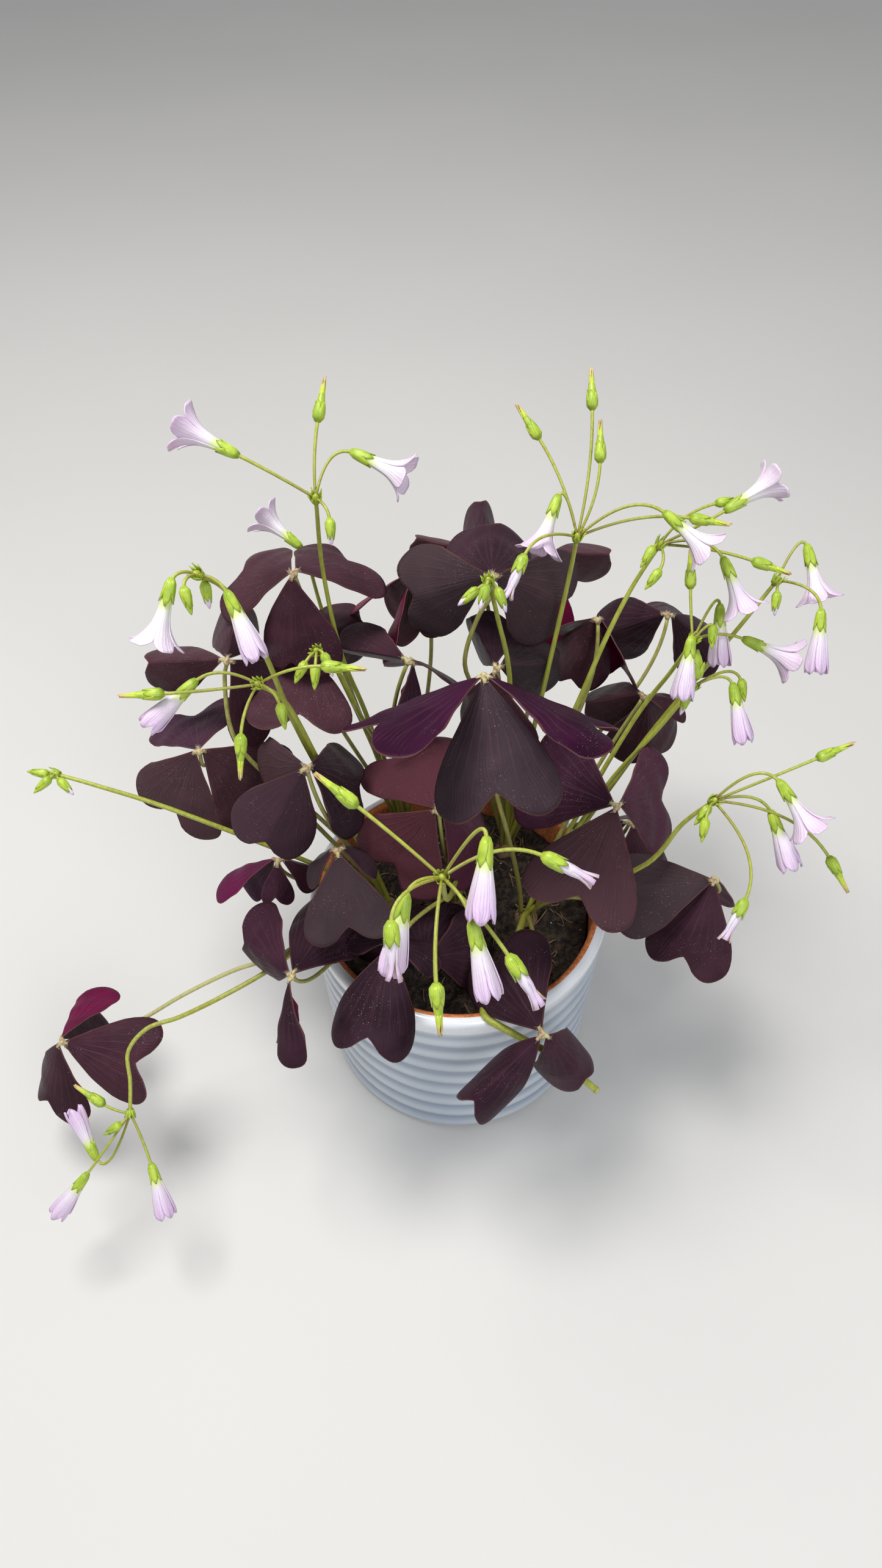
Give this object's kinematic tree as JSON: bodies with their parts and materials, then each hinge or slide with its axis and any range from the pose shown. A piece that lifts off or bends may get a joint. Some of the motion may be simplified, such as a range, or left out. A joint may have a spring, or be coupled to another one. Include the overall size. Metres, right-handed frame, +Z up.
{
  "type": "potted oxalis",
  "caption": "Purple shamrock with dark three-part leaves and nodding lilac flowers, growing from soil in a ribbed, pale blue-grey glazed pot that stands on a flat foot.",
  "frame": {"origin": "centre of the pot's flat foot, on the surface that it stands on", "axes": "+Z up; +X to the viewer's right and -Y towards the viewer of the picture"},
  "size_m": [0.341, 0.2767, 0.3096],
  "materials": {
    "glaze": "gloss",
    "soil": "matte",
    "stalk": "satin",
    "blade": "satin",
    "petal": "satin"
  },
  "bodies": {
    "root": {"flower_back_left_1": "petal", "flower_front_1": "petal", "flower_front_2": "petal", "flower_front_3": "petal", "flower_hanging_1": "petal", "flower_hanging_2": "petal", "flower_hanging_3": "petal", "flower_left_high_1": "petal", "flower_left_high_2": "petal", "flower_left_low_1": "petal", "flower_right_high_1": "petal", "flower_right_high_2": "petal", "flower_right_inner_1": "petal", "flower_right_inner_2": "petal", "flower_right_inner_3": "petal", "flower_right_low_1": "petal", "flower_right_low_2": "petal", "flower_right_middle_1": "petal", "flower_right_outer_1": "petal", "flower_right_outer_2": "petal", "flower_top_left_1": "petal", "flower_top_left_2": "petal", "flower_top_right_1": "petal", "flower_top_right_2": "petal", "leaf_back_left": "blade", "leaf_back_middle": "blade", "leaf_back_right": "blade", "leaf_back_top": "blade", "leaf_centre": "blade", "leaf_centre_behind": "blade", "leaf_fallen": "blade", "leaf_front_hanging": "blade", "leaf_front_left": "blade", "leaf_front_middle": "blade", "leaf_front_right": "blade", "leaf_left_back": "blade", "leaf_left_below": "blade", "leaf_left_centre": "blade", "leaf_left_front": "blade", "leaf_left_low": "blade", "leaf_left_middle": "blade", "leaf_left_top": "blade", "leaf_left_wide": "blade", "leaf_right_far": "blade", "leaf_right_hanging": "blade", "leaf_right_high": "blade", "leaf_right_low": "blade", "leaf_right_middle": "blade", "leaf_right_out": "blade", "leaf_top": "blade", "pot": "glaze", "soil": "soil", "stalks_back_left": "stalk", "stalks_back_right": "stalk", "stalks_centre": "stalk", "stalks_left": "stalk", "stalks_right": "stalk"}
  },
  "joints": []
}
